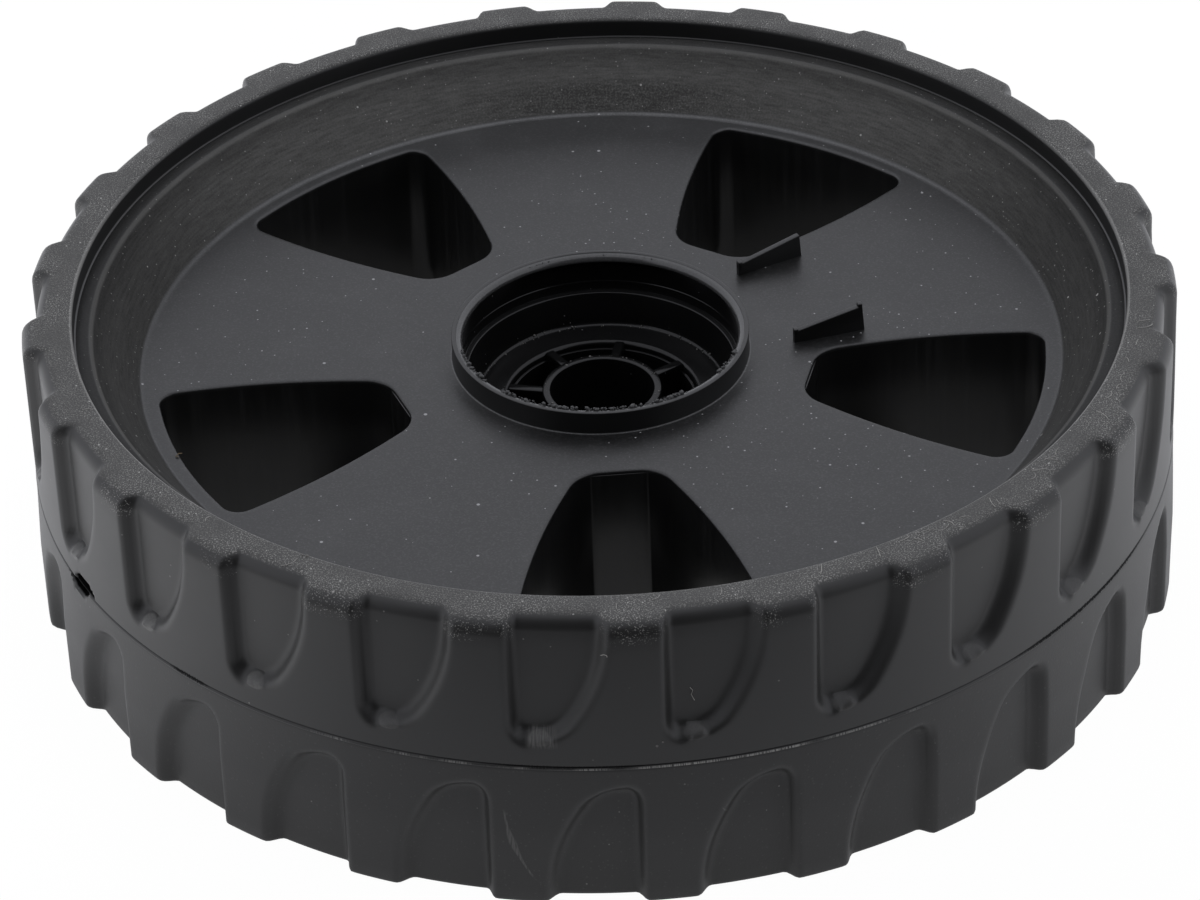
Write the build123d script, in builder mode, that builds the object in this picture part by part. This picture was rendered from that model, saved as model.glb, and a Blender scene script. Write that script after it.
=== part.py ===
import os
from math import asin, cos, sin, sqrt

from build123d import *

os.makedirs("parts", exist_ok=True)

# Wheel: the axis is Z, the side with the hub collar is up, and the origin is the tyre's middle.
tyre_radius = 100.0
half_width = 28.1

# Tyre section
shoulder_round = 2.8
back_shoulder_round = 1.0
tread_wall = 8.0
lip_flare = 0.5
bead_depth = 1.5
bead_width = 8.1
seat_gap = 0.15
lip_radius = tyre_radius - tread_wall
seat_radius = lip_radius - lip_flare
waist_radius = seat_radius - bead_depth
waist_half = half_width - bead_width

# Tread slots, open at the tyre's edges, with one straight and one curved wall
slot_count = 25
slot_depth = 2.35
slot_width = 17.2
slot_end = 3.4
slot_toe_width = 7.865
slot_mouth = 1.1
slot_wall_run = 2.2
slot_heel_round = 3.2
slot_toe_round = 6.0
slot_angle = 5.8
slot_back_angle = 8.4
slot_overrun = 2.0
slot_bite = 0.1

# Rim section
rim_inset = 3.4
rim_wall = 2.6
flange_width = 3.0
flange_round = 1.3
dish_run = 8.1
dish_round = 1.5
dish_height = 14.2
dish_hub_height = 13.4

# Hub: collar with a snap groove for a cap, a floor and a well round the axle sleeve
collar_radius = 25.75
collar_height = 18.0
collar_wall = 1.65
collar_round = 0.5
groove_depth = 0.5
groove_top = 16.2
groove_bottom = 12.6
groove_lead = 0.4
socket_inset = 0.7
socket_step = 10.5
socket_draft = 1.2
floor_height = 4.5
floor_round = 0.8
floor_wall = 2.6
well_radius = 16.6
well_step = 1.3
well_ledge = 0.4
well_wall = 2.2
well_back = -20.0
hub_back = -18.0
hub_wall = 2.0

# Axle sleeve and the thin ribs that carry it
axle_radius = 9.0
running_gap = 0.1
sleeve_radius = 10.55
sleeve_top = 5.85
sleeve_back = -24.0
sleeve_rib_count = 8
sleeve_rib_wall = 1.8
sleeve_rib_top = 4.6
sleeve_rib_angle = 33.0
sleeve_rib_bite = 0.5

# Windows through the disc, each with a wall behind its edge
window_count = 5
window_angle = 57.5
window_inner = 37.3
window_margin = 2.9
window_side_radius = 132.8
window_side_x = 99.0
window_side_y = 110.8
window_inner_round = 3.2
window_outer_round = 3.5
duct_wall = 2.0
duct_back = -15.0
spoke_angle = 21.5
spoke_rib_wall = 2.0
spoke_rib_side = 8.0
spoke_rib_back = -12.0
weld = 1.0

# Two wedge tabs on one spoke
tab_start = 31.6
tab_end = 44.6
tab_start_side = 12.0
tab_end_side = 13.4
tab_wall = 1.1
tab_low = 2.4
tab_high = 4.4
tab_lean = 0.5

# One slot as a tool on the +X side, with sloping walls down to the carcass
slot_floor = tyre_radius - slot_depth
slot_reach = half_width + slot_overrun
slot_open = half_width - slot_mouth
slot_length = slot_open - slot_end
slot_flare = slot_width - slot_toe_width
slot_curve = (slot_flare**2 + slot_length**2) / (2 * slot_flare)
bow_turn = asin(slot_length / slot_curve) / 2
bow_x = slot_width - slot_curve * (1 - cos(bow_turn))
bow_y = slot_open - slot_curve * sin(bow_turn)
slot_tangent = Plane(
    origin=(tyre_radius + slot_overrun, -slot_width / 2, 0), x_dir=(0, 1, 0), z_dir=(1, 0, 0)
)

with BuildPart() as slot:
    with BuildSketch(slot_tangent) as slot_outline:
        with BuildLine():
            Polyline(
                (slot_toe_width, slot_end),
                (0, slot_end),
                (0, slot_reach),
                (slot_width, slot_reach),
                (slot_width, slot_open),
            )
            ThreePointArc((slot_width, slot_open), (bow_x, bow_y), (slot_toe_width, slot_end))
        make_face()
        fillet(slot_outline.vertices().sort_by_distance((0, slot_end))[0], slot_heel_round)
        fillet(slot_outline.vertices().sort_by_distance((slot_toe_width, slot_end))[0], slot_toe_round)
    extrude(amount=-(slot_overrun + slot_depth + slot_bite))
    slot_bed = slot.faces().sort_by(Axis.X)[0].edges()
    chamfer(slot_bed.sort_by(Axis.Z)[:-1], slot_depth, slot_wall_run)

# Tyre: carcass at the depth of the slots, with the block ring round it
rim_half = half_width - rim_inset
with BuildPart() as tyre:
    with BuildSketch(Plane.XZ) as block_ring:
        with Locations(((slot_floor - weld + tyre_radius) / 2, 0)):
            Rectangle(tyre_radius - slot_floor + weld, 2 * half_width)
        fillet(block_ring.vertices().sort_by_distance((tyre_radius, half_width))[0], shoulder_round)
        fillet(block_ring.vertices().sort_by_distance((tyre_radius, -half_width))[0], back_shoulder_round)
    revolve(axis=Axis.Z)
    with PolarLocations(0, slot_count, slot_angle):
        add(slot.part, mode=Mode.SUBTRACT)
    with PolarLocations(0, slot_count, slot_back_angle):
        add(slot.part.rotate(Axis.X, 180), mode=Mode.SUBTRACT)
    with BuildSketch(Plane.XZ) as carcass:
        with BuildLine():
            Polyline(
                (lip_radius, half_width),
                (slot_floor, half_width),
                (slot_floor, -half_width),
                (lip_radius, -half_width),
                (seat_radius, -rim_half),
                (seat_radius, -waist_half),
                (waist_radius, -waist_half),
                (waist_radius, waist_half),
                (seat_radius, waist_half),
                (seat_radius, rim_half),
                close=True,
            )
        make_face()
        fillet(carcass.vertices().sort_by_distance((slot_floor, half_width))[0], shoulder_round)
        fillet(carcass.vertices().sort_by_distance((slot_floor, -half_width))[0], back_shoulder_round)
    revolve(axis=Axis.Z)
tyre.part.label = "tyre"

# Rim section, from the flange over the dish and the hub cup, and back under them to the barrel
barrel_outer = waist_radius - seat_gap
barrel_inner = barrel_outer - rim_wall
flange_outer = seat_radius - seat_gap
flange_inner = seat_radius - flange_width
dish_radius = flange_inner - dish_run
window_outer = dish_radius - window_margin
wall_slope = sqrt((flange_inner - dish_radius) ** 2 + (rim_half - dish_height) ** 2)
wall_shift_r = rim_wall * (rim_half - dish_height) / wall_slope
wall_shift_z = rim_wall * (flange_inner - dish_radius) / wall_slope
fall_per_mm = (rim_half - dish_height) / (flange_inner - dish_radius)
wall_under = rim_half - wall_shift_z - (flange_inner + wall_shift_r - barrel_inner) * fall_per_mm
disc_under = dish_height - rim_wall
disc_under_radius = barrel_inner - (wall_under - disc_under) / fall_per_mm
disc_under_hub = dish_hub_height - rim_wall
hub_inner = collar_radius - hub_wall
collar_mouth = collar_radius - collar_wall
groove_radius = collar_mouth + groove_depth
socket_radius = collar_mouth - socket_inset
floor_radius = socket_radius - socket_draft
bore_radius = axle_radius + running_gap

with BuildPart() as rim:
    with BuildSketch(Plane.XZ) as section:
        with BuildLine():
            Polyline(
                (flange_outer, rim_half),
                (flange_inner, rim_half),
                (dish_radius, dish_height),
                (collar_radius, dish_hub_height),
                (collar_radius, collar_height),
                (collar_mouth, collar_height),
                (collar_mouth, groove_top + groove_lead),
                (groove_radius, groove_top),
                (groove_radius, groove_bottom),
                (socket_radius, socket_step),
                (floor_radius, floor_height),
                (well_radius, floor_height),
                (well_radius, floor_height - well_step),
                (well_radius - well_ledge, floor_height - well_step),
                (well_radius - well_ledge, well_back),
                (well_radius + well_wall, well_back),
                (well_radius + well_wall, floor_height - floor_wall),
                (hub_inner, floor_height - floor_wall),
                (hub_inner, hub_back),
                (collar_radius, hub_back),
                (collar_radius, disc_under_hub),
                (disc_under_radius, disc_under),
                (barrel_inner, wall_under),
                (barrel_inner, -rim_half),
                (flange_outer, -rim_half),
                (flange_outer, -waist_half),
                (barrel_outer, -waist_half),
                (barrel_outer, waist_half),
                (flange_outer, waist_half),
                close=True,
            )
        make_face()
        fillet(section.vertices().sort_by_distance((flange_inner, rim_half))[0], flange_round)
        fillet(section.vertices().sort_by_distance((dish_radius, dish_height))[0], dish_round)
        fillet(section.vertices().sort_by_distance((collar_radius, collar_height))[0], collar_round)
        fillet(section.vertices().sort_by_distance((collar_mouth, collar_height))[0], collar_round)
        fillet(section.vertices().sort_by_distance((floor_radius, floor_height))[0], floor_round)
        fillet(section.vertices().sort_by_distance((well_radius, floor_height))[0], floor_round)
    revolve(axis=Axis.Z)

    # Axle sleeve on thin ribs inside the well
    with BuildSketch(Plane.XY.offset(sleeve_back)):
        Circle(sleeve_radius)
        Circle(bore_radius, mode=Mode.SUBTRACT)
    extrude(amount=sleeve_top - sleeve_back)
    sleeve_rib_length = well_radius - sleeve_radius + sleeve_rib_bite
    with BuildSketch(Plane.XY.offset(well_back)):
        with PolarLocations((well_radius + sleeve_radius) / 2, sleeve_rib_count, sleeve_rib_angle):
            Rectangle(sleeve_rib_length, sleeve_rib_wall)
    extrude(amount=sleeve_rib_top - well_back)

    # A pair of stiffening ribs behind each spoke, from the hub wall to the barrel
    rib_start = sqrt((collar_radius - weld) ** 2 - spoke_rib_side**2)
    rib_end = barrel_inner + weld
    rib_middle = (rib_start + rib_end) / 2
    with BuildSketch(Plane.XY.offset(spoke_rib_back)):
        with PolarLocations(0, window_count, spoke_angle):
            with Locations((rib_middle, spoke_rib_side), (rib_middle, -spoke_rib_side)):
                Rectangle(rib_end - rib_start, spoke_rib_wall)
    extrude(amount=disc_under_hub + weld - spoke_rib_back)

    # Window walls behind the disc, then the windows, each outline cut from three discs and a square
    for grow, top, way in ((duct_wall, disc_under_hub + weld, Mode.ADD), (0, rim_half, Mode.SUBTRACT)):
        with BuildSketch(mode=Mode.PRIVATE) as window:
            Circle(window_outer + grow)
            for side in (1, -1):
                with Locations((window_side_x, side * window_side_y)):
                    Circle(window_side_radius + grow, mode=Mode.INTERSECT)
            with Locations((window_inner - grow, 0)):
                Rectangle(window_outer, window_outer, align=(Align.MIN, Align.CENTER), mode=Mode.INTERSECT)
            fillet(window.vertices().group_by(Axis.X)[0], window_inner_round + grow)
            fillet(window.vertices().group_by(Axis.X)[-1], window_outer_round + grow)
        with BuildSketch(Plane.XY.offset(duct_back)):
            with PolarLocations(0, window_count, window_angle):
                add(window.sketch)
        extrude(amount=top - duct_back, mode=way)

    # Wedge tabs, low at the hub end and higher at the outer end
    tab_root = (dish_height + dish_hub_height) / 2
    for side in (1, -1):
        foot = Vector(tab_start, side * tab_start_side, tab_root).rotate(Axis.Z, spoke_angle)
        tip = Vector(tab_end, side * tab_end_side, tab_root).rotate(Axis.Z, spoke_angle)
        run = tip - foot
        tab_plane = Plane(origin=foot, x_dir=run, z_dir=run.cross(Vector(0, 0, 1)))
        with BuildSketch(tab_plane):
            with BuildLine():
                Polyline(
                    (0, -weld),
                    (0, tab_low),
                    (run.length - tab_lean, tab_high),
                    (run.length, -weld),
                    close=True,
                )
            make_face()
        extrude(amount=tab_wall / 2, both=True)
rim.part.label = "rim"

export_step(tyre.part, "parts/tyre.step")
export_step(rim.part, "parts/rim.step")
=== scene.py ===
import math
import random

import bmesh
import bpy
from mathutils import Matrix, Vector


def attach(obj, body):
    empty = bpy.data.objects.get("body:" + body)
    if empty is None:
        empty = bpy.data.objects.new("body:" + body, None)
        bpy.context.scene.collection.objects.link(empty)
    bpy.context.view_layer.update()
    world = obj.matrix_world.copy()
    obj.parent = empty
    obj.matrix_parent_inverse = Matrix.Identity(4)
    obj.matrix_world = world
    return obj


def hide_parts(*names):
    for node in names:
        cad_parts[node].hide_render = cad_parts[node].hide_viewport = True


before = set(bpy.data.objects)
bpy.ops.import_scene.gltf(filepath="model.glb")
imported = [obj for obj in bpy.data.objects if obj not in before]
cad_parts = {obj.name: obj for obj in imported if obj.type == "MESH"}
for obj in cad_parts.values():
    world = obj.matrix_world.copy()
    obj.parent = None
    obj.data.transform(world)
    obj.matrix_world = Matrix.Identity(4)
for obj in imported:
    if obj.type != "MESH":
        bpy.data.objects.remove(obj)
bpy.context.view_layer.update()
mm = 0.001


# small helpers for working as by hand
def deselectAll():
    if bpy.context.mode != "OBJECT":
        bpy.ops.object.mode_set(mode="OBJECT")
    bpy.ops.object.select_all(action="DESELECT")


def pickPiece(piece):
    deselectAll()
    piece.select_set(True)
    bpy.context.view_layer.objects.active = piece


def openEdit(piece):
    pickPiece(piece)
    bpy.ops.object.mode_set(mode="EDIT")
    bpy.ops.mesh.select_mode(type="VERT")


def closeEdit():
    bpy.ops.object.mode_set(mode="OBJECT")


def pickVerts(piece, test):  # in edit mode: select the vertices whose place, in mm, passes the test
    bpy.ops.mesh.select_mode(type="VERT")
    bpy.ops.mesh.select_all(action="DESELECT")
    mesh = bmesh.from_edit_mesh(piece.data)
    for vert in mesh.verts:
        if test(vert.co / mm):
            vert.select = True
    mesh.select_flush(True)
    bmesh.update_edit_mesh(piece.data)


def pickFaces(piece, test):  # in edit mode: select the faces whose middle, in mm, and normal pass the test
    bpy.ops.mesh.select_mode(type="FACE")
    bpy.ops.mesh.select_all(action="DESELECT")
    mesh = bmesh.from_edit_mesh(piece.data)
    for face in mesh.faces:
        if test(face.calc_center_median() / mm, face.normal):
            face.select_set(True)
    mesh.select_flush_mode()
    bmesh.update_edit_mesh(piece.data)


def drawLine(name, points):  # one vertex, pulled along the points in mm
    deselectAll()
    bpy.ops.mesh.primitive_plane_add(size=mm)
    piece = bpy.context.object
    piece.name = name
    piece.data.name = name
    openEdit(piece)
    bpy.ops.mesh.select_all(action="SELECT")
    bpy.ops.mesh.merge(type="CENTER")
    bpy.ops.transform.translate(value=Vector(points[0]) * mm)
    for last, point in zip(points, points[1:]):
        step = (Vector(point) - Vector(last)) * mm
        bpy.ops.mesh.extrude_vertices_move(TRANSFORM_OT_translate={"value": step})
    closeEdit()
    return piece


def mergeDoubles(piece, reach):  # reach in mm
    openEdit(piece)
    bpy.ops.mesh.select_all(action="SELECT")
    bpy.ops.mesh.remove_doubles(threshold=reach * mm)
    bpy.ops.mesh.normals_make_consistent(inside=False)
    closeEdit()


def spinAll(piece, steps, degrees=360):
    openEdit(piece)
    bpy.ops.mesh.select_all(action="SELECT")
    bpy.ops.mesh.spin(steps=steps, angle=math.radians(degrees), center=(0, 0, 0), axis=(0, 0, 1))
    closeEdit()
    mergeDoubles(piece, 0.002)


def joinPieces(pieces, name):
    deselectAll()
    for piece in pieces:
        piece.select_set(True)
    bpy.context.view_layer.objects.active = pieces[0]
    bpy.ops.object.join()
    pieces[0].name = name
    pieces[0].data.name = name
    return pieces[0]


def applyModifiers(piece):
    pickPiece(piece)
    for modifier in list(piece.modifiers):
        bpy.ops.object.modifier_apply(modifier=modifier.name)


def applyPlace(piece):
    pickPiece(piece)
    bpy.ops.object.transform_apply(location=True, rotation=True, scale=True)


def turnPiece(piece, degrees):
    piece.rotation_euler = (0, 0, math.radians(degrees))
    applyPlace(piece)


def smoothPiece(piece, degrees):
    pickPiece(piece)
    bpy.ops.object.shade_smooth_by_angle(angle=math.radians(degrees))


def softenEdges(piece, width, segments):  # width in mm
    bevel = piece.modifiers.new("softEdges", "BEVEL")
    bevel.width = width * mm
    bevel.segments = segments
    applyModifiers(piece)


def sinkGroup(piece, name, depth, direction):  # sinks a vertex group by its weights, depth in mm
    sink = piece.modifiers.new(name, "DISPLACE")
    sink.direction = direction
    sink.mid_level = 0
    sink.strength = -depth * mm
    sink.vertex_group = name
    applyModifiers(piece)
    piece.vertex_groups.clear()


def makeBlock(name, size, middle, edge=0, segments=2):  # sizes and place in mm
    deselectAll()
    bpy.ops.mesh.primitive_cube_add(size=mm)
    piece = bpy.context.object
    piece.name = name
    piece.scale = size
    applyPlace(piece)
    if edge > 0:
        softenEdges(piece, edge, segments)
    piece.location = Vector(middle) * mm
    applyPlace(piece)
    return piece


def copyTurned(piece, count, pitch):  # copies round the axis, each with its own mesh, joined to the first
    copies = [piece]
    for k in range(1, count):
        twin = piece.copy()
        twin.data = piece.data.copy()
        bpy.context.scene.collection.objects.link(twin)
        turnPiece(twin, pitch * k)
        copies.append(twin)
    return joinPieces(copies, piece.name)


def arcPoints(centre, radius, first, last, steps):  # (r, z) points of an arc in a section
    turns = [math.radians(first + (last - first) * k / steps) for k in range(steps + 1)]
    return [(centre[0] + radius * math.cos(a), centre[1] + radius * math.sin(a)) for a in turns]


def section(points):  # (r, z) to a point on the XZ plane
    return [(r, 0, z) for r, z in points]


# tyre: one pitch of the tread with its two slots, copied round the axis
tyre = {
    "radius": 100.0,
    "halfWidth": 28.1,
    "shoulder": 2.8,
    "backShoulder": 1.0,
    "lip": 91.2,
    "lipRound": 0.9,
    "lipShift": 0.05,
    "finReach": 90.85,
    "finHeight": 24.36,
    "seat": 91.5,
    "seatHeight": 24.1,
    "waist": 90.0,
    "waistHalf": 20.0,
    "pitches": 25,
    "columns": 46,
    "turn": 7.1,
    "flatEnd": 95.2,
    "lowSwell": 0.6,
    "swellRun": 14.0,
    "lowRow": -24.8,
    "partingWidth": 0.19,
    "partingDepth": 0.26,
    "flash": 0.1,
}
slot = {
    "depth": 2.35,
    "width": 17.9,
    "end": 3.4,
    "curve": 34.5,
    "open": 27.0,
    "edge": -11.37,
    "straightRun": 2.8,
    "curveRun": 3.4,
    "endRun": 3.6,
    "cornerRound": 1.3,
    "floorStart": 93.0,
}
# low stub at each upper slot's closed end
toe = {"along": 5.6, "angle": 263.0, "reach": 2.1, "height": 5.2, "rise": 1.15, "stand": 0.2}
# heights of the tread's rings, closer together at the slots' ends
treadRows = [22.5, 20.0, 17.6, 15.6, 14.0, 12.6, 11.3, 10.1, 9.0, 8.0, 7.1]
treadRows += [6.4, 5.8, 5.2, 4.6, 4.0, 3.4, 2.4, 1.7, 1.2, 0.8]


def roundMeet(a, b, k):
    return max(k, min(a, b)) - math.hypot(max(k - a, 0), max(k - b, 0))


def slotShare(u, v):  # 0 on the block, 1 on the slot's floor
    bow = Vector((u - slot["width"] + slot["curve"], min(v - slot["open"], 0)))
    straight = u / slot["straightRun"]
    end = (v - slot["end"]) / slot["endRun"]
    curved = (slot["curve"] - bow.length) / slot["curveRun"]
    inside = roundMeet(roundMeet(straight, end, slot["cornerRound"]), curved, slot["cornerRound"])
    share = min(max(inside, 0), 1)
    return share ** 3 * (share * (6 * share - 15) + 10)


def tyreSection():  # from the lip over the tread to the back, and up the seat
    half, outer, swell = tyre["halfWidth"], tyre["radius"], tyre["lowSwell"]
    shoulder, backShoulder = tyre["shoulder"], tyre["backShoulder"]
    seat, seatHeight, waist, waistHalf = tyre["seat"], tyre["seatHeight"], tyre["waist"], tyre["waistHalf"]
    lip, soft, fin, finZ = tyre["lip"], tyre["lipRound"], tyre["finReach"], tyre["finHeight"]
    wide, deep, flash = tyre["partingWidth"], tyre["partingDepth"], tyre["flash"]
    flat = [slot["floorStart"], tyre["flatEnd"]]
    points = [(seat, seatHeight), (seat - 0.05, finZ - 0.08), (fin + 0.1, finZ - 0.05), (fin, finZ + 0.05)]
    points += [(lip - 0.08, finZ + 0.2), (lip - 0.03, finZ + 1.5)]
    points += arcPoints((lip + soft, half - soft), soft, 180, 90, 5)
    points += [(r, half) for r in flat]
    points += arcPoints((outer - shoulder, half - shoulder), shoulder, 90, 0, 6)
    points += [(outer, z) for z in treadRows]
    points += [(outer, 3 * wide), (outer, wide), (outer - deep, 0), (outer, -wide)]  # parting line
    points += [(outer + flash, -2 * wide), (outer + flash, -2.6 * wide), (outer, -3.4 * wide)]
    points += [(outer + swell * min(z / tyre["swellRun"], 1), -z) for z in reversed(treadRows)]
    points += [(outer + swell, tyre["lowRow"])]
    points += arcPoints((outer + swell - backShoulder, backShoulder - half), backShoulder, 0, -90, 3)
    points += [(r, -half) for r in reversed(flat)]
    points += [(seat + 0.5, -half), (seat, -seatHeight), (seat, -waistHalf)]
    points += [(waist, -waistHalf), (waist, waistHalf), (seat, waistHalf), (seat, seatHeight)]
    return section(points)


def sinkSlots(piece):  # one pitch's two slots sink along X
    group = piece.vertex_groups.new(name="slots")
    sideRun = tyre["radius"] - tyre["shoulder"] - slot["floorStart"]
    for vert in piece.data.vertices:
        reach = math.hypot(vert.co.x, vert.co.y) / mm - slot["floorStart"]
        if reach < 0:
            continue
        u = math.atan2(vert.co.y, vert.co.x) * tyre["radius"]
        v = vert.co.z / mm
        share = max(slotShare(u - slot["edge"], v), slotShare(-u - slot["edge"], -v))
        along = (u - slot["edge"] - toe["along"]) / toe["reach"]
        stub = 1 - along ** 2 - ((v - toe["height"]) / toe["rise"]) ** 2
        share -= toe["stand"] * min(1, 2.5 * max(stub, 0))
        share *= min(1, reach / sideRun)
        if share > 0:
            group.add([vert.index], share, "REPLACE")
    sinkGroup(piece, "slots", slot["depth"], "X")


def onLip(p):
    return p.z > tyre["seatHeight"] + 0.1 and math.hypot(p.x, p.y) < slot["floorStart"] - 0.5


def makeTyre():
    piece = drawLine("tyre_tread", tyreSection())
    pitch = 360 / tyre["pitches"]
    spinAll(piece, tyre["columns"], pitch)
    turns = [math.atan2(vert.co.y, vert.co.x) for vert in piece.data.vertices]
    turnPiece(piece, -math.degrees(sum(turns) / len(turns)))  # square to +X, which the slots sink along
    sinkSlots(piece)
    turnPiece(piece, tyre["turn"])
    piece = copyTurned(piece, tyre["pitches"], pitch)
    mergeDoubles(piece, 0.01)
    openEdit(piece)
    pickVerts(piece, onLip)
    bpy.ops.transform.translate(value=(tyre["lipShift"] * mm, 0, 0))
    closeEdit()
    sinkNick(piece)
    smoothPiece(piece, 40)
    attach(piece, "root")
    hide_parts("tyre")
    print("tyre made:", len(piece.data.polygons), "faces")
    return piece


# the gate's nick: a hollow over and a hollow under the parting line
nick = {"depth": 1.5, "height": 2.2, "upper": 207.6, "lower": 206.2, "reach": 2.3}


def sinkNick(piece):
    group = piece.vertex_groups.new(name="nick")
    for vert in piece.data.vertices:
        u, v = math.degrees(math.atan2(vert.co.y, vert.co.x)) % 360, vert.co.z / mm
        if math.hypot(vert.co.x, vert.co.y) / mm < tyre["radius"] - 1 or abs(v) < 0.1:
            continue
        along = (u - (nick["upper"] if v > 0 else nick["lower"])) / nick["reach"]
        share = 1 - along ** 2 - (v / nick["height"]) ** 2
        if share > 0:
            group.add([vert.index], min(1, 3 * share), "REPLACE")
    sinkGroup(piece, "nick", nick["depth"], "NORMAL")


tyrePiece = makeTyre()


# rim: spun sections for the flange and the hub, a flat disc between them, and the windows' walls
rim = {
    "half": 24.25,
    "wall": 2.6,
    "flangeOuter": 91.35,
    "flangeInner": 88.3,
    "flangeRound": 1.2,
    "barrelOuter": 89.85,
    "barrelInner": 87.25,
    "waistHalf": 20.0,
    "dish": 80.4,
    "dishRound": 1.0,
    "face": 13.8,
    "steps": 240,
    "edgeRound": 0.3,
}
hub = {
    "collar": 26.0,
    "collarTop": 18.0,
    "collarRound": 0.15,
    "bead": 25.3,
    "beadRise": 0.18,
    "mouthRound": 0.95,
    "mouth": 24.1,
    "grooveRadius": 24.6,
    "grooveTop": 16.2,
    "grooveBottom": 12.5,
    "grooveLead": 0.4,
    "socket": 23.4,
    "socketStep": 10.6,
    "ledge": 24.5,
    "floorRadius": 22.2,
    "floor": 4.5,
    "floorRound": 0.8,
    "floorWall": 2.6,
    "well": 16.6,
    "wellStep": 1.3,
    "wellLedge": 0.4,
    "wellWall": 2.2,
    "wellBack": -20.0,
    "back": -18.0,
    "wall": 2.0,
}
sleeve = {
    "bore": 9.1,
    "radius": 10.55,
    "top": 5.85,
    "back": -24.0,
    "edge": 0.25,
    "ribs": 8,
    "ribWall": 1.8,
    "ribTop": 4.6,
    "ribAngle": 33.0,
    "ribLap": 0.6,
    "ribRound": 0.35,
}
window = {
    "count": 5,
    "angle": 57.5,
    "inner": 37.3,
    "outer": 77.5,
    "sideRadius": 132.8,
    "sideX": 99.0,
    "sideY": 110.8,
    "innerRound": 5.8,
    "outerRound": 3.2,
    "edge": 0.45,
    "margin": 0.6,
    "wall": 2.0,
    "back": -15.0,
    "padWidth": 9.4,
    "padRise": 0.2,
    "padRound": 0.08,
}


def roundCorner(before, corner, after, radius, steps):  # arc points in place of one section corner
    a = (Vector(before) - Vector(corner)).normalized()
    b = (Vector(after) - Vector(corner)).normalized()
    half = a.angle(b) / 2
    start = Vector(corner) + a * radius / math.tan(half)
    centre = Vector(corner) + (a + b).normalized() * radius / math.sin(half)
    sweep = math.pi - 2 * half
    sign = 1 if a.x * b.y - a.y * b.x < 0 else -1
    arm = start - centre
    spots = []
    for k in range(steps + 1):
        c, s = math.cos(sign * sweep * k / steps), math.sin(sign * sweep * k / steps)
        spots.append((centre.x + arm.x * c - arm.y * s, centre.y + arm.x * s + arm.y * c))
    return spots


def roundedPath(corners):  # (r, z, radius, steps) corners to plain points
    path = []
    for k, (r, z, radius, steps) in enumerate(corners):
        if radius == 0:
            path.append((r, z))
        else:
            path += roundCorner(corners[k - 1][:2], (r, z), corners[k + 1][:2], radius, steps)
    return path


def makeFlange():
    small = rim["edgeRound"]
    under = rim["face"] - rim["wall"]
    corners = [
        (rim["dish"] + 1.2, under, 0, 0),
        (rim["barrelInner"], under + 7.3, 0.6, 3),
        (rim["barrelInner"], -rim["half"], small, 3),
        (rim["flangeOuter"], -rim["half"], small, 3),
        (rim["flangeOuter"], -rim["waistHalf"], 0, 0),
        (rim["barrelOuter"], -rim["waistHalf"], 0, 0),
        (rim["barrelOuter"], rim["waistHalf"], 0, 0),
        (rim["flangeOuter"], rim["waistHalf"], 0, 0),
        (rim["flangeOuter"], rim["half"], small, 3),
        (rim["flangeInner"], rim["half"], rim["flangeRound"], 6),
        (rim["dish"], rim["face"], rim["dishRound"], 6),
        (rim["dish"] - 1.1, rim["face"], 0, 0),
    ]
    piece = drawLine("rim_flange", section(roundedPath(corners)))
    spinAll(piece, rim["steps"])
    return piece


def makeHub():
    small = rim["edgeRound"]
    under = rim["face"] - rim["wall"]
    corners = [
        (hub["collar"] + 1.5, rim["face"], 0, 0),
        (hub["collar"], rim["face"], 0.25, 3),
        (hub["collar"], hub["collarTop"], hub["collarRound"], 3),
        (hub["bead"], hub["collarTop"], 0.05, 2),
        (hub["bead"] - 0.1, hub["collarTop"] - hub["beadRise"], 0.04, 2),
        (hub["mouth"], hub["collarTop"] - hub["beadRise"] - 0.02, hub["mouthRound"], 6),
        (hub["mouth"], hub["grooveTop"] + hub["grooveLead"], 0.08, 2),
        (hub["grooveRadius"], hub["grooveTop"], 0.1, 2),
        (hub["grooveRadius"], hub["grooveBottom"], 0.12, 2),
        (hub["ledge"], hub["grooveBottom"] - 0.15, 0.15, 2),
        (hub["ledge"] - 0.1, hub["socketStep"] + 0.1, 0.15, 2),
        (hub["socket"], hub["socketStep"], 0.3, 4),
        (hub["floorRadius"], hub["floor"], hub["floorRound"], 4),
        (hub["well"], hub["floor"], hub["floorRound"], 4),
        (hub["well"], hub["floor"] - hub["wellStep"], 0.1, 2),
        (hub["well"] - hub["wellLedge"], hub["floor"] - hub["wellStep"], 0.15, 2),
        (hub["well"] - hub["wellLedge"], hub["wellBack"], small, 3),
        (hub["well"] + hub["wellWall"], hub["wellBack"], small, 3),
        (hub["well"] + hub["wellWall"], hub["floor"] - hub["floorWall"], small, 3),
        (hub["collar"] - hub["wall"], hub["floor"] - hub["floorWall"], small, 3),
        (hub["collar"] - hub["wall"], hub["back"], small, 3),
        (hub["collar"], hub["back"], small, 3),
        (hub["collar"], under, small, 3),
        (hub["collar"] + 1.5, under, 0, 0),
    ]
    piece = drawLine("rim_hub", section(roundedPath(corners)))
    spinAll(piece, rim["steps"] // 2)
    return piece


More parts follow.
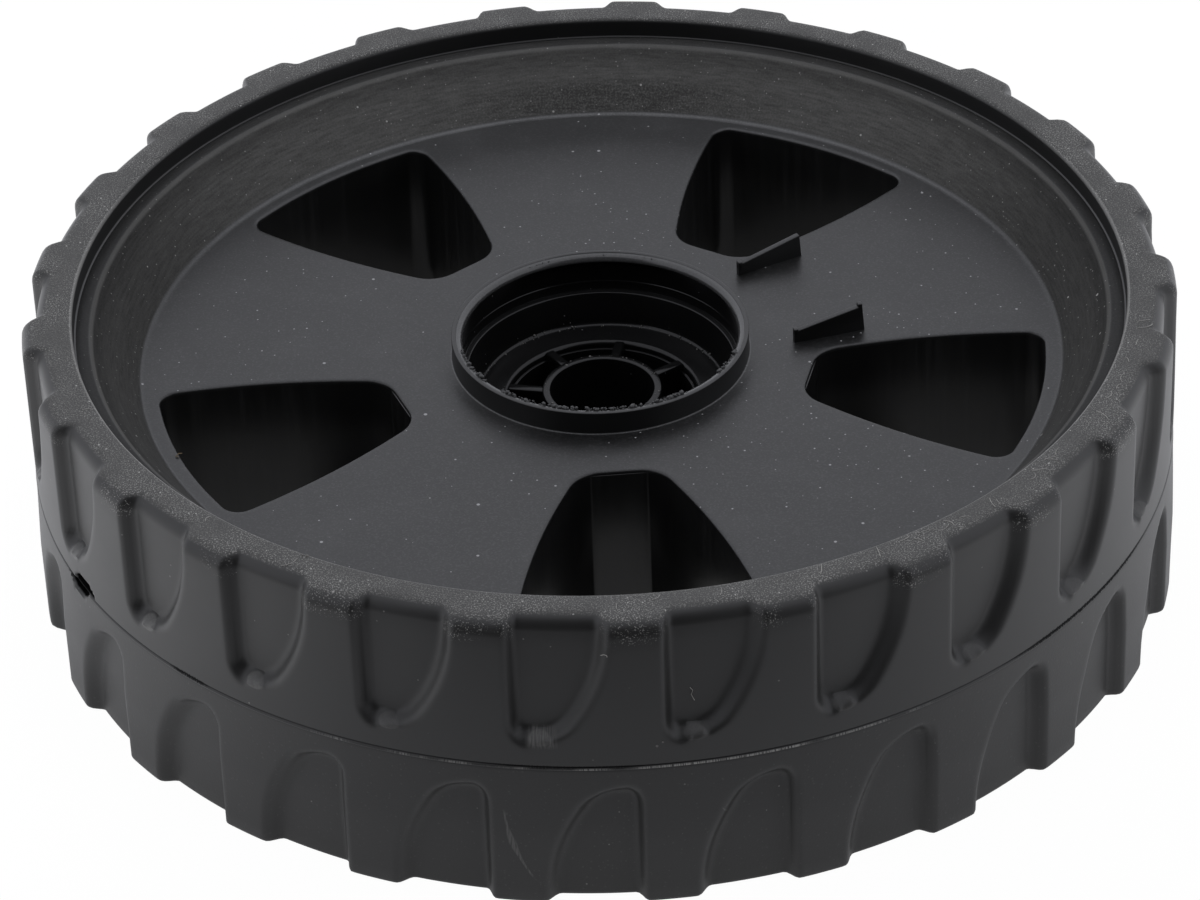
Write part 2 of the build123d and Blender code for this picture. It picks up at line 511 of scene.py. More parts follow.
def makeSleeve():
    bore, radius, top, back = sleeve["bore"], sleeve["radius"], sleeve["top"], sleeve["back"]
    ring = [(bore, back), (radius, back), (radius, top), (bore, top)]
    path = []
    for k, corner in enumerate(ring):
        path += roundCorner(ring[k - 1], corner, ring[(k + 1) % 4], sleeve["edge"], 3)
    piece = drawLine("rim_sleeve", section(path + path[:1]))
    spinAll(piece, 96)
    ribTop, ribBack = sleeve["ribTop"], hub["wellBack"]
    size = (hub["well"] - radius + sleeve["ribLap"], sleeve["ribWall"], ribTop - ribBack)
    middle = ((hub["well"] + radius) / 2, 0, (ribTop + ribBack) / 2)
    rib = makeBlock("rim_sleeve_rib", size, middle, sleeve["ribRound"], 3)
    turnPiece(rib, sleeve["ribAngle"])
    ribs = copyTurned(rib, sleeve["ribs"], 360 / sleeve["ribs"])
    return joinPieces([piece, ribs], "rim_sleeve")


def drawWindow(name, grow, height):  # the window's outline, drawn with arcs, its corners rounded, filled
    reach = window["outer"] + grow
    side = window["sideRadius"] + grow
    inner = window["inner"] - grow
    centre = Vector((window["sideX"], -window["sideY"]))
    startY = centre.y + math.sqrt(side ** 2 - (inner - centre.x) ** 2)
    # where the side arc meets the outer arc, by the two circles' common chord
    gap = centre.length
    along = (reach ** 2 - side ** 2 + gap ** 2) / (2 * gap)
    across = math.sqrt(reach ** 2 - along ** 2)
    unit = centre / gap
    meet = unit * along + Vector((-unit.y, unit.x)) * across
    first = Vector((inner, startY)) - centre
    last = meet - centre
    sideTurn = math.atan2(first.y, first.x) - math.atan2(last.y, last.x)
    sideStart = math.atan2(first.y, first.x)
    outerHalf = math.atan2(meet.y, meet.x)
    spots = []
    for k in range(1, 14):
        a = sideStart - sideTurn * k / 14
        spots.append((centre.x + side * math.cos(a), centre.y + side * math.sin(a)))
    innerCorner = roundCorner((inner, 0), (inner, startY), spots[0], window["innerRound"] + grow, 6)
    beyond = (reach * math.cos(outerHalf * 0.9), reach * math.sin(outerHalf * 0.9))
    outerCorner = roundCorner(spots[-1], tuple(meet), beyond, window["outerRound"] + grow, 8)
    spots = [p for p in spots if innerCorner[-1][0] + 0.3 < p[0] < outerCorner[0][0] - 0.3]
    edgeTurn = math.atan2(outerCorner[-1][1], outerCorner[-1][0])
    outerArc = [edgeTurn * (1 - k / 6) for k in range(1, 6)]
    upperHalf = innerCorner + spots + outerCorner
    upperHalf += [(reach * math.cos(a), reach * math.sin(a)) for a in outerArc]
    outline = upperHalf + [(reach, 0)] + [(x, -y) for x, y in reversed(upperHalf)]
    piece = drawLine(name, [(x, y, height) for x, y in outline])
    openEdit(piece)
    bpy.ops.mesh.select_all(action="SELECT")
    bpy.ops.mesh.edge_face_add()
    bpy.ops.mesh.normals_make_consistent(inside=False)
    closeEdit()
    if piece.data.polygons[0].normal.z < 0:
        openEdit(piece)
        bpy.ops.mesh.select_all(action="SELECT")
        bpy.ops.mesh.flip_normals()
        closeEdit()
    return piece


def makeDuct():  # front edge rounded by insets, the wall drawn down, and the wall's outside behind the disc
    edge = window["edge"]
    piece = drawWindow("rim_window", edge + window["margin"], rim["face"])
    openEdit(piece)
    bpy.ops.mesh.select_mode(type="FACE")
    bpy.ops.mesh.select_all(action="SELECT")
    bpy.ops.mesh.inset(thickness=window["margin"] * mm, use_even_offset=True)
    steps = 4
    for k in range(steps):
        a, b = math.pi / 2 * k / steps, math.pi / 2 * (k + 1) / steps
        inward = edge * (math.sin(b) - math.sin(a))
        drop = edge * (math.cos(a) - math.cos(b))
        bpy.ops.mesh.inset(thickness=inward * mm, depth=-drop * mm, use_even_offset=True)
    depth = rim["face"] - edge - window["back"]
    bpy.ops.mesh.extrude_region_move(TRANSFORM_OT_translate={"value": (0, 0, -depth * mm)})
    bpy.ops.mesh.delete(type="ONLY_FACE")
    closeEdit()
    shell = drawWindow("rim_window_back", window["wall"], rim["face"] - rim["wall"])
    openEdit(shell)
    bpy.ops.mesh.select_mode(type="FACE")
    bpy.ops.mesh.select_all(action="SELECT")
    depth = rim["face"] - rim["wall"] - window["back"]
    bpy.ops.mesh.extrude_region_move(TRANSFORM_OT_translate={"value": (0, 0, -depth * mm)})
    pickFaces(shell, lambda p, n: abs(n.z) > 0.9)
    bpy.ops.mesh.delete(type="ONLY_FACE")
    closeEdit()
    both = joinPieces([piece, shell], "rim_window")
    fillLevel(both, window["back"])
    turnPiece(both, window["angle"])
    return copyTurned(both, window["count"], 360 / window["count"])


def makePads():
    top, back = rim["face"] - 0.6, window["back"] + 0.3
    size = (2 * window["padRise"], window["padWidth"], top - back)
    piece = makeBlock("rim_pad", size, (window["inner"], 0, (top + back) / 2), window["padRound"])
    turnPiece(piece, window["angle"])
    return copyTurned(piece, window["count"], 360 / window["count"])


def fillLevel(piece, height):  # fill the flat face between all open loops at one height
    openEdit(piece)
    bpy.ops.mesh.select_mode(type="EDGE")
    bpy.ops.mesh.select_all(action="DESELECT")
    mesh = bmesh.from_edit_mesh(piece.data)
    for edge in mesh.edges:
        level = all(abs(v.co.z / mm - height) < 0.02 for v in edge.verts)
        if level and edge.is_boundary:
            edge.select = True
    bmesh.update_edit_mesh(piece.data)
    bpy.ops.mesh.fill(use_beauty=True)
    closeEdit()


def makeRim():
    piece = joinPieces([makeFlange(), makeHub(), makeDuct()], "rim_moulding")
    fillLevel(piece, rim["face"])
    fillLevel(piece, rim["face"] - rim["wall"])
    mergeDoubles(piece, 0.002)
    print("rim shell:", len(piece.data.polygons), "faces")
    piece = joinPieces([piece, makeSleeve(), makePads()] + makeTabs() + [makeBackRibs()], "rim_moulding")
    smoothPiece(piece, 32)
    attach(piece, "root")
    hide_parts("rim")
    print("rim made:", len(piece.data.polygons), "faces")
    return piece


# wedge tabs on one spoke, and the stiffening ribs behind all spokes
tab = {
    "angle": 21.5,
    "start": (31.6, 12.0),
    "end": (44.6, 13.4),
    "wall": 1.1,
    "low": 2.2,
    "high": {1: 4.4, -1: 5.0},
    "lean": 0.5,
    "edge": 0.18,
    "nub": (0.8, 0.45),
    "sunk": 1.0,
}
backRib = {"wall": 2.0, "side": 8.0, "back": -12.0, "start": 23.5, "end": 88.0, "edge": 0.3}


def makeTabs():
    made = []
    wall, low, sunk, lean = tab["wall"], tab["low"], tab["sunk"], tab["lean"]
    nubLong, nubHigh = tab["nub"]
    for side in (1, -1):
        foot = Vector((tab["start"][0], side * tab["start"][1]))
        tip = Vector((tab["end"][0], side * tab["end"][1]))
        run, high = (tip - foot).length, tab["high"][side]
        piece = makeBlock("rim_tab", (run, wall, low + sunk), (run / 2, 0, (low - sunk) / 2))
        openEdit(piece)
        pickVerts(piece, lambda p: p.x > 1 and p.z > 0)  # the outer end is drawn up and leans in
        bpy.ops.transform.translate(value=(-lean * mm, 0, (high - low) * mm))
        closeEdit()
        nubs = [(0, low)]
        if side < 0:
            nubs.append((run - lean - nubLong, high))
        for along, rise in nubs:
            middle = (along + nubLong / 2, 0, rise + (nubHigh - sunk) / 2)
            nub = makeBlock("rim_nub", (nubLong, wall, sunk + nubHigh), middle)
            piece = joinPieces([piece, nub], "rim_tab")
        softenEdges(piece, tab["edge"], 3)
        piece.rotation_euler = (0, 0, math.atan2(tip.y - foot.y, tip.x - foot.x))
        piece.location = (foot.x * mm, foot.y * mm, rim["face"] * mm)
        applyPlace(piece)
        turnPiece(piece, tab["angle"])
        made.append(piece)
    return made


def makeBackRibs():
    top, back = rim["face"] - rim["wall"] + 0.5, backRib["back"]
    size = (backRib["end"] - backRib["start"], backRib["wall"], top - back)
    made = []
    for side in (1, -1):
        middle = ((backRib["end"] + backRib["start"]) / 2, side * backRib["side"], (top + back) / 2)
        piece = makeBlock("rim_back_rib", size, middle, backRib["edge"])
        turnPiece(piece, tab["angle"])
        made.append(piece)
    pair = joinPieces(made, "rim_back_rib")
    return copyTurned(pair, window["count"], 360 / window["count"])


rimPiece = makeRim()


# shader maths: one wrapper round a socket
class Flow:
    def __init__(self, tree, socket=None):
        self.tree = tree
        self.socket = socket

    def node(self, kind, settings=None, sockets=None, out=0):
        made = self.tree.nodes.new(kind)
        for key, value in (settings or {}).items():
            setattr(made, key, value)
        for key, value in (sockets or {}).items():
            if isinstance(value, Flow):
                self.tree.links.new(value.socket, made.inputs[key])
            else:
                made.inputs[key].default_value = value
        return Flow(self.tree, made.outputs[out])

    def maths(self, operation, a, b=0.0):
        return self.node("ShaderNodeMath", {"operation": operation}, {0: a, 1: b})

    def __add__(self, other):
        return self.maths("ADD", self, other)

    def __radd__(self, other):
        return self.maths("ADD", other, self)

    def __sub__(self, other):
        return self.maths("SUBTRACT", self, other)

    def __rsub__(self, other):
        return self.maths("SUBTRACT", other, self)

    def __mul__(self, other):
        return self.maths("MULTIPLY", self, other)

    def __rmul__(self, other):
        return self.maths("MULTIPLY", other, self)

    def __truediv__(self, other):
        return self.maths("DIVIDE", self, other)

    def __pow__(self, other):
        return self.maths("POWER", self, other)

    def above(self, low, high):  # 0 below low, 1 over high, smooth between
        soft = {"interpolation_type": "SMOOTHSTEP"}
        return self.node("ShaderNodeMapRange", soft, {0: self, 1: low, 2: high})

    def clamp(self):
        return self.node("ShaderNodeClamp", None, {0: self})


def newMaterial(name):
    made = bpy.data.materials.new(name)
    made.use_nodes = True
    tree = made.node_tree
    tree.nodes.clear()
    shader = tree.nodes.new("ShaderNodeBsdfPrincipled")
    end = tree.nodes.new("ShaderNodeOutputMaterial")
    tree.links.new(shader.outputs[0], end.inputs["Surface"])
    return made, Flow(tree), shader


def feed(shader, name, flow):
    flow.tree.links.new(flow.socket, shader.inputs[name])


def dress(piece, material):
    piece.data.materials.clear()
    piece.data.materials.append(material)


def readPlace(flow):  # place in mm, radius from the axis, height and turn in degrees
    place = flow.node("ShaderNodeTexCoord", None, None, "Object")
    place = flow.node("ShaderNodeVectorMath", {"operation": "SCALE"}, {0: place, "Scale": 1000})
    x, y, z = [flow.node("ShaderNodeSeparateXYZ", None, {0: place}, k) for k in range(3)]
    turn = flow.maths("ARCTAN2", y, x) * (180 / math.pi)
    return place, (x * x + y * y) ** 0.5, z, turn


def noise(flow, place, size, detail=2.0):  # size of the features in mm
    return flow.node("ShaderNodeTexNoise", None, {"Vector": place, "Scale": 1 / size, "Detail": detail})


def specks(flow, place, cell, share, radius):  # round grains: one in each cell with the given chance
    near = flow.node("ShaderNodeTexVoronoi", None, {"Vector": place, "Scale": 1 / cell}, "Distance")
    drawn = Flow(flow.tree, near.socket.node.outputs["Color"])  # each cell's own random numbers
    chance = flow.node("ShaderNodeSeparateColor", None, {0: drawn}, 0)
    size = flow.node("ShaderNodeSeparateColor", None, {0: drawn}, 1)
    reach = radius / cell * (0.5 + size)
    return (1 - chance.above(share - 0.01, share + 0.01)) * (1 - (near / reach).above(0.6, 1.0))


def tint(flow, tone, colour):
    return flow.node("ShaderNodeVectorMath", {"operation": "SCALE"}, {0: colour, "Scale": tone})


def between(value, low, high, soft):
    return value.above(low - soft, low + soft) * (1 - value.above(high - soft, high + soft))


def bump(flow, shader, height, depth):  # depth in mm
    sockets = {"Strength": 1.0, "Distance": depth * mm, "Height": height}
    feed(shader, "Normal", flow.node("ShaderNodeBump", None, sockets, "Normal"))


rimLook = {
    "tone": 0.004,
    "cupShadeTone": 0.001,
    "sideShadeTone": 0.035,
    "backLightTone": 0.082,
    "dust": 0.27,
    "roughness": 0.38,
    "ior": 1.5,
}
tyreLook = {"tone": 0.012, "topTone": 0.036, "dust": 0.3, "roughness": 0.45, "ior": 1.5}
warm = (1, 0.985, 0.93)


def stretched(flow, place, scale):
    return flow.node("ShaderNodeVectorMath", {"operation": "MULTIPLY"}, {0: place, 1: scale})


def setDull(shader, roughness, gloss):
    shader.inputs["Roughness"].default_value = roughness
    shader.inputs["Specular IOR Level"].default_value = gloss


def addShader(material, share):  # a further surface mixed over what is there
    tree = material.node_tree
    end = [node for node in tree.nodes if node.type == "OUTPUT_MATERIAL"][0]
    under = Flow(tree, end.inputs["Surface"].links[0].from_socket)
    second = tree.nodes.new("ShaderNodeBsdfPrincipled")
    mixed = under.node("ShaderNodeMixShader", None, {0: share, 1: under, 2: Flow(tree, second.outputs[0])})
    tree.links.new(mixed.socket, end.inputs["Surface"])
    return second


def makeRimLook(look):
    material, flow, shader = newMaterial("rim_plastic")
    place, radius, z, turn = readPlace(flow)
    across = flow.node("ShaderNodeSeparateXYZ", None, {0: place}, 1)
    grain = noise(flow, place, 0.35, 3)
    haze = noise(flow, place, 14, 4)
    patch = noise(flow, place, 30, 2)
    drawn = noise(flow, stretched(flow, place, (1, 1, 0.05)), 1.6, 3)
    facing = flow.node("ShaderNodeTexCoord", None, None, "Normal")
    up = flow.node("ShaderNodeSeparateXYZ", None, {0: facing}, 2).above(0.35, 0.75)
    # zones of the moulding
    level, brimTop, inner = rim["face"], rim["half"], rim["flangeInner"]
    collar, bead, dish = hub["collar"], hub["bead"], rim["dish"]
    face = z.above(level - 0.6, level - 0.1) * radius.above(collar - 0.6, collar + 0.2) * up
    duct = (1 - z.above(level - 0.9, level - 0.3)) * radius.above(30, 34)
    wall = z.above(level + 0.05, level + 0.6) * between(radius, dish + 0.1, inner - 0.1, 0.3)
    brim = z.above(brimTop - 0.75, brimTop - 0.15) * radius.above(inner - 0.5, inner + 0.1)
    brimHighlight = between(radius, inner - 0.4, inner + 0.3, 0.2) * z.above(brimTop - 1.25, brimTop - 0.65)
    cup = 1 - radius.above(bead - 0.4, bead + 0.1)
    mouth = z.above(hub["grooveTop"] + 0.3, hub["grooveTop"] + 0.8)
    mouth = mouth * between(radius, hub["mouth"] - 0.1, bead, 0.1)
    rear = across.above(15, 78)
    foot = between(radius, dish - 0.8, dish + 0.1, 0.2) * face * rear
    ring = between(radius, collar - 0.05, collar + 0.3, 0.1) * between(z, level - 0.8, level + 0.1, 0.1)
    # dust, and the satin plastic under it, with painted shade in the cup and down the windows and a painted
    # highlight round the collar's mouth
    grit = specks(flow, place, 1.3, patch.above(0.3, 0.75) * 0.65, 0.14)
    crumbs = specks(flow, place, 4.5, 0.5, 0.26)
    cupGrit = specks(flow, place, 1.6, 0.25 * cup * z.above(0, 4), 0.13)
    settled = ((grit + crumbs) * face).clamp() + 0.6 * cupGrit
    # painted shade: the cup inside the collar has a darker base
    tone = look["tone"] * (1 - cup) + look["cupShadeTone"] * cup
    tone = tone + 0.01 * face * haze.above(0.42, 0.8) + 0.025 * face * radius.above(70, 80) * rear
    # painted shade: the windows' walls made 40% darker, with faint drawn streaks
    tone = tone * (1 - 0.4 * duct) + 0.006 * duct * drawn.above(0.5, 0.75)
    # painted highlight: the mouth term is a pale band on the collar's rounded mouth
    tone = tone + 0.022 * face * grain.above(0.45, 0.8) + 0.045 * mouth * (0.5 + grain)
    tone = tone + 0.045 * foot * (grain * haze * 4).clamp() + 0.05 * ring * (0.3 + grain)
    tone = tone + look["dust"] * settled
    rough = look["roughness"] + 0.1 * (haze - 0.5) - 0.2 * cup + 0.3 * settled + 0.25 * duct * (drawn - 0.6)
    feed(shader, "Base Color", tone)
    feed(shader, "Roughness", rough.clamp())
    shader.inputs["IOR"].default_value = look["ior"]
    bump(flow, shader, 0.8 * grain, 0.012)
    # painted shade: a dark sheet down the windows, apart from the pads, and deep in the cup
    share = 360 / window["count"]
    sector = flow.maths("MODULO", turn + (360 + share / 2 - window["angle"]), share) - share / 2
    aside = flow.maths("ABSOLUTE", radius * flow.maths("SINE", sector * (math.pi / 180)))
    beyond = aside.above(window["padWidth"] / 2 + 0.1, window["padWidth"] / 2 + 0.4)
    near = 1 - radius.above(44, 56)
    shadeDepths = 0.75 * near * beyond + 0.3 * (1 - near * (1 - beyond)) * z.above(2, 9)
    shadeDepths = shadeDepths + 0.25 * (1 - z.above(-8, 4)) + 0.3 * radius.above(70, 76)
    paintedShade = addShader(material, (duct * shadeDepths + 0.45 * cup * (1 - z.above(15.5, 16.2))).clamp())
    paintedShade.inputs["Base Color"].default_value = (0.002, 0.002, 0.002, 1)
    setDull(paintedShade, 0.7, 0.1)
    # dusty matte skin on the sloping wall and, thinner, on the flange, with painted light on it
    ringed = flow.node("ShaderNodeCombineXYZ", None, {0: turn * 0.25, 1: radius * 1.4, 2: z * 1.4})
    streak = noise(flow, ringed, 0.7, 3)
    coarse = between(radius, dish + 0.1, 84.0, 1.0) * between(turn, 72, 103, 12)
    fine = specks(flow, place, 0.8, 0.22, 0.12)
    matte = addShader(material, (wall + 0.7 * brim).clamp())
    # painted light: the skin is paler on the back half of the sloping wall than at the sides
    skin = look["sideShadeTone"] * (1 - rear) + look["backLightTone"] * rear
    skin = skin * (0.1 + 0.8 * grain + streak) * (1 - coarse * (0.4 - 0.4 * grain.above(0.4, 0.7)))
    # painted highlight: a pale band on the flange's inner round; the skin also darkens towards the wall's top
    # and on the flange top
    skin = skin * (1.06 - 0.32 * z.above(20, 23.2)) * (1 - 0.35 * brim) + 0.05 * brimHighlight
    skin = skin + 0.16 * fine + look["dust"] * (crumbs + 0.5 * grit) * wall
    feed(matte, "Base Color", tint(flow, skin, warm))
    setDull(matte, 0.9, 0.15)
    bump(flow, matte, grain * (0.6 + 2.5 * coarse) + 0.5 * streak, 0.02)
    return material


def makeTyreLook(look):
    material, flow, shader = newMaterial("tyre_rubber")
    place, radius, z, turn = readPlace(flow)
    x, y = [flow.node("ShaderNodeSeparateXYZ", None, {0: place}, k) for k in range(2)]
    angle = turn + 360 * (1 - turn.above(-0.01, 0.01))  # 0 to 360
    grain = noise(flow, place, 0.4, 3)
    haze = noise(flow, place, 12, 4)
    patch = noise(flow, place, 9, 2)
    # zones of the tyre
    half, outer, lip = tyre["halfWidth"], tyre["radius"], tyre["lip"]
    top = z.above(half - 0.6, half - 0.1)
    shoulder = between(z, half - 3.8, half - 0.5, 0.6) * radius.above(outer - 2.3, outer - 1.6)
    inside = (1 - radius.above(lip + 0.2, lip + 0.5)) * between(z, half - 3.5, half - 0.6, 0.15)
    lipReach = ((x - tyre["lipShift"]) * (x - tyre["lipShift"]) + y * y) ** 0.5
    # painted highlight along the lip's rounded top edge, left off at the back
    edge = z.above(half - 0.85, half - 0.6) * (1 - lipReach.above(lip + 0.35, lip + 0.6))
    edge = edge * (1 - y.above(10, 60))
    below = 1 - z.above(-0.9, -0.4)
    # dust
    flour = noise(flow, place, 0.24, 1)
    lie = patch.above(0.3, 0.65)
    grit = flour.above(0.5, 0.68) * top * (0.35 + 0.65 * lie)
    coarse = specks(flow, place, 1.2, 0.5 * top * lie, 0.15)
    sparks = flour.above(0.6, 0.7) * shoulder * patch.above(0.42, 0.58)
    stray = specks(flow, place, 2.0, 0.3 * patch.above(0.4, 0.7), 0.16)
    pebble = specks(flow, place, 0.7, 0.4 * below, 0.16)
    settled = (0.6 * grit + 0.95 * coarse + 0.8 * sparks + 0.4 * stray).clamp()
    # painted shade: the lip's inner wall made 65% darker
    tone = look["tone"] * (0.75 + 0.3 * haze + 0.2 * grain) * (1 - 0.65 * inside)
    # the edge term is the painted highlight on the lip
    tone = tone + look["topTone"] * top * (0.3 + 0.9 * grain + 0.5 * haze) + 0.12 * edge + 0.014 * pebble
    tone = tone + look["dust"] * settled
    # a striated scuff at one slot's closed end, a curved pale one below it, and a short scratch
    strokes = flow.node("ShaderNodeCombineXYZ", None, {0: turn * 9, 1: z * 0.5, 2: 0.0})
    lines = noise(flow, strokes, 1.4, 2)
    scuff = between(angle, 261.9, 264.5, 0.35) * between(z, 3.9, 6.7, 0.5) * lines.above(0.38, 0.6)
    bend = angle - (259.5 - 0.05 * (z + 10) + 0.0115 * (z + 10) * (z + 10))
    spread = 0.14 + 0.3 * between(z, -17.5, -13.5, 2.5)
    graze = 1 - (flow.maths("ABSOLUTE", bend) / spread).above(0.5, 1.1)
    graze = graze * between(z, -22.2, -9.4, 0.8) * lines.above(0.3, 0.55)
    nip = angle - (279.67 - 0.33 * (z + 10))
    scratch = between(nip, -0.06, 0.06, 0.04) * between(z, -11.9, -10.0, 0.2)
    # pale patches on the slots' stubs
    pitch = 360 / tyre["pitches"]
    local = flow.maths("MODULO", angle + (20.5 * pitch - toe["angle"]), pitch) - pitch / 2
    side = local * (math.radians(outer) / toe["reach"])
    rise = (z - toe["height"]) / toe["rise"]
    stub = (1 - side * side - rise * rise).above(0.0, 0.4)
    stub = stub * (0.3 + 0.7 * patch.above(0.35, 0.6)) * (0.4 + grain) * (1 - 0.5 * x.above(-20, 20))
    # the parting line: pale torn flash, and painted shade in its groove, wider in places, and in the nick's
    # hollows
    runs = between(angle, 272, 287, 1.5) + 0.7 * between(angle, 238, 300, 3) * patch.above(0.45, 0.6)
    flash = runs.clamp() * between(z, -0.62, -0.2, 0.06) * lines.above(0.35, 0.6)
    wide = between(angle, 312, 334, 4) + between(angle, 223.5, 228, 1) + 0.6 * between(angle, 259, 272, 2)
    reach = flow.maths("ABSOLUTE", z) - 0.13 - 0.32 * wide * lines.above(0.32, 0.62)
    gap = (1 - reach.above(-0.1, 0.08)) * (0.4 + 0.4 * wide).clamp() * radius.above(outer - 2, outer - 1.5)
    hollow = between(angle, nick["lower"] - 3.7, nick["upper"] + 2.4, 0.3)
    hollow = hollow * (1 - radius.above(outer - 0.5, outer - 0.15))
    hollow = hollow * between(z, -nick["height"], nick["height"], 0.1)
    grooveShade = addShader(material, (hollow + gap * (1 - flash)).clamp())
    grooveShade.inputs["Base Color"].default_value = (0.0015, 0.0015, 0.0015, 1)
    setDull(grooveShade, 0.9, 0.02)
    tone = tone + 0.05 * scuff + 0.055 * stub + 0.045 * graze + 0.05 * scratch + 0.22 * flash
    rough = look["roughness"] + 0.3 * top + 0.08 * (haze - 0.5) + 0.3 * settled + 0.2 * scuff
    feed(shader, "Base Color", tint(flow, tone, warm))
    feed(shader, "Roughness", rough.clamp())
    shader.inputs["IOR"].default_value = look["ior"]
    bump(flow, shader, grain * (0.35 + 1.2 * top + 1.2 * below), 0.014)
    return material


dress(rimPiece, makeRimLook(rimLook))
dress(tyrePiece, makeTyreLook(tyreLook))
print("materials made")


def plainLook(name, colour, roughness):
    material, flow, shader = newMaterial(name)
    place = readPlace(flow)[0]
    deeper = [0.5 * part for part in colour[:3]] + [1]
    sockets = {0: noise(flow, place, 0.5, 2), 6: colour, 7: deeper}
    feed(shader, "Base Color", flow.node("ShaderNodeMix", {"data_type": "RGBA"}, sockets, 2))
    shader.inputs["Roughness"].default_value = roughness
    return material


def settle(piece, look):
    dress(piece, look)
    smoothPiece(piece, 60)
    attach(piece, "root")


def polar(radius, degrees, height):
    a = math.radians(degrees)
    return Vector((radius * math.cos(a), radius * math.sin(a), height))


def makeGrains(name, places, low, high, seed):  # crumbs of random size at the places, in mm
    chance = random.Random(seed)
    made = []
    for spot in places:
        deselectAll()
        bpy.ops.mesh.primitive_ico_sphere_add(subdivisions=1, radius=mm, location=spot * mm)
        grain = bpy.context.object
        size = low + (high - low) * chance.random() ** 2.5
        grain.scale = [size * chance.uniform(0.6, 1.3) for k in range(3)]
        grain.rotation_euler = [chance.uniform(0, 3) for k in range(3)]
        applyPlace(grain)
        made.append(grain)
    return joinPieces(made, name)


def makeThread(name, points, thick):  # a thin round thread along the points, in mm
    piece = drawLine(name, [tuple(point) for point in points])
    bpy.ops.object.convert(target="CURVE")
    curve = bpy.context.object
    curve.data.bevel_depth = thick * mm / 2
    curve.data.bevel_resolution = 1
    curve.data.use_fill_caps = True
    bpy.ops.object.convert(target="MESH")
    thread = bpy.context.object
    thread.name = name
    thread.data.name = name
    return thread


grains = {
    "edgeRadius": 24.6,
    "edgeHeight": 17.85,
    "floorRadius": 21.9,
    "floorHeight": 4.55,
    "floorCount": 150,
    "sleeveCount": 36,
    "fibres": 30,
    "fibreHeight": 28.13,
    "seed": 4,
}
burrRuns = [(190, 217, 45), (225, 306, 170), (325, 342, 30), (60, 120, 10)]  # first and last degree, count


def burrPlaces(chance):  # round the collar's mouth
    places = []
    for first, last, count in burrRuns:
        for k in range(count):
            rise = chance.uniform(-0.2, 0.2)
            turn = chance.uniform(first, last)
            places.append(polar(grains["edgeRadius"] - 0.6 * rise, turn, grains["edgeHeight"] + rise))
    return places


def crumbPlaces(chance):  # where the hub's floor meets its wall, and on the sleeve's end
    places = []
    for k in range(grains["floorCount"]):
        out = chance.gauss(0, 0.22)
        turn = chance.uniform(0, 360)
        places.append(polar(grains["floorRadius"] + out, turn, grains["floorHeight"] + max(out, 0) * 2))
    for k in range(grains["sleeveCount"]):
        places.append(polar(chance.uniform(9.6, 10.3), chance.uniform(0, 360), sleeve["top"]))
    return places


def makeFibre(chance):  # one loose bowed fibre lying on the tyre's side
    r = chance.uniform(92.5, 95)
    turn = chance.choice((chance.uniform(285, 345), chance.uniform(200, 360)))
    lean, bow, length = chance.uniform(0, 6.28), chance.uniform(-0.5, 0.5), chance.uniform(0.6, 1.6)
    middle, c, s = polar(r, turn, grains["fibreHeight"]), math.cos(lean), math.sin(lean)
    steps = [(t * length, bow * (1 - t * t)) for t in (-1, -0.5, 0, 0.5, 1)]
    spots = [middle + Vector((u * c - v * s, u * s + v * c, 0)) for u, v in steps]
    return makeThread("tyre_hair", spots, chance.uniform(0.07, 0.12))


def alongPolar(spots):
    return [polar(*spot) for spot in spots]


# radius, degrees and height
hook = [(100.05, 268.9, 22.5), (100.08, 269.2, 22.62), (100.08, 269.45, 22.45), (100.05, 269.5, 22.1)]
wave = [(97.75, 277.1, 13.2), (97.8, 277.35, 12.6), (97.8, 277.2, 11.8), (97.75, 277.5, 10.5)]
tanFibre = [(77.0, 200.7, 13.9), (77.6, 200.9, 14.2), (78.3, 201.1, 13.95), (77.9, 201.4, 14.0)]
dots = [(99.98, 273.75, 3.8), (99.98, 274.3, 4.5), (92.1, 237.8, 28.1), (91.9, 238.3, 28.05)]


def makeDirt():
    chance = random.Random(grains["seed"])
    burrs, crumbs = burrPlaces(chance), crumbPlaces(chance)
    pale = plainLook("dirt_pale", (0.16, 0.155, 0.145, 1), 0.85)
    burrLook = plainLook("burr_plastic", (0.05, 0.05, 0.05, 1), 0.45)
    settle(makeGrains("rim_burrs", burrs, 0.1, 0.5, 11), burrLook)
    settle(makeGrains("rim_crumbs", crumbs, 0.07, 0.26, 12), pale)
    settle(makeGrains("tyre_crumbs", alongPolar(dots), 0.22, 0.34, 13), pale)
    hairs = [makeThread("tyre_hair", alongPolar(spots), 0.12) for spots in (hook, wave)]
    hairs += [makeFibre(chance) for k in range(grains["fibres"])]
    settle(joinPieces(hairs, "tyre_hair"), plainLook("hair_pale", (0.42, 0.41, 0.38, 1), 0.7))
    tan = plainLook("fibre_tan", (0.2, 0.14, 0.07, 1), 0.7)
    settle(makeThread("rim_fibre", alongPolar(tanFibre), 0.16), tan)
    print("dirt made:", len(burrs), "burrs,", len(crumbs), "crumbs")


makeDirt()


# floor, light and camera
studio = {
    "floor": -28.15,
    "eye": (-0.00066, -0.71577, 0.48815),
    "turn": (55.2787, 1.77, -1.2157),
    "lens": 147.15,
    "floorGlow": 0.33,
    "floorRing": 0.65,
    "floorDip": 0.38,
    "floorLeft": 0.5,
    "floorNear": -0.17,
    "floorFar": -0.215,
    "dimSide": (0, -0.95, 0.31),
    "dimStart": 0.67,
    "dimEnd": 0.84,
    "sky": (0.965, 0.98, 1.05, 1),
    "skyLevel": 1.1,
    "skyDim": 1.05,
}


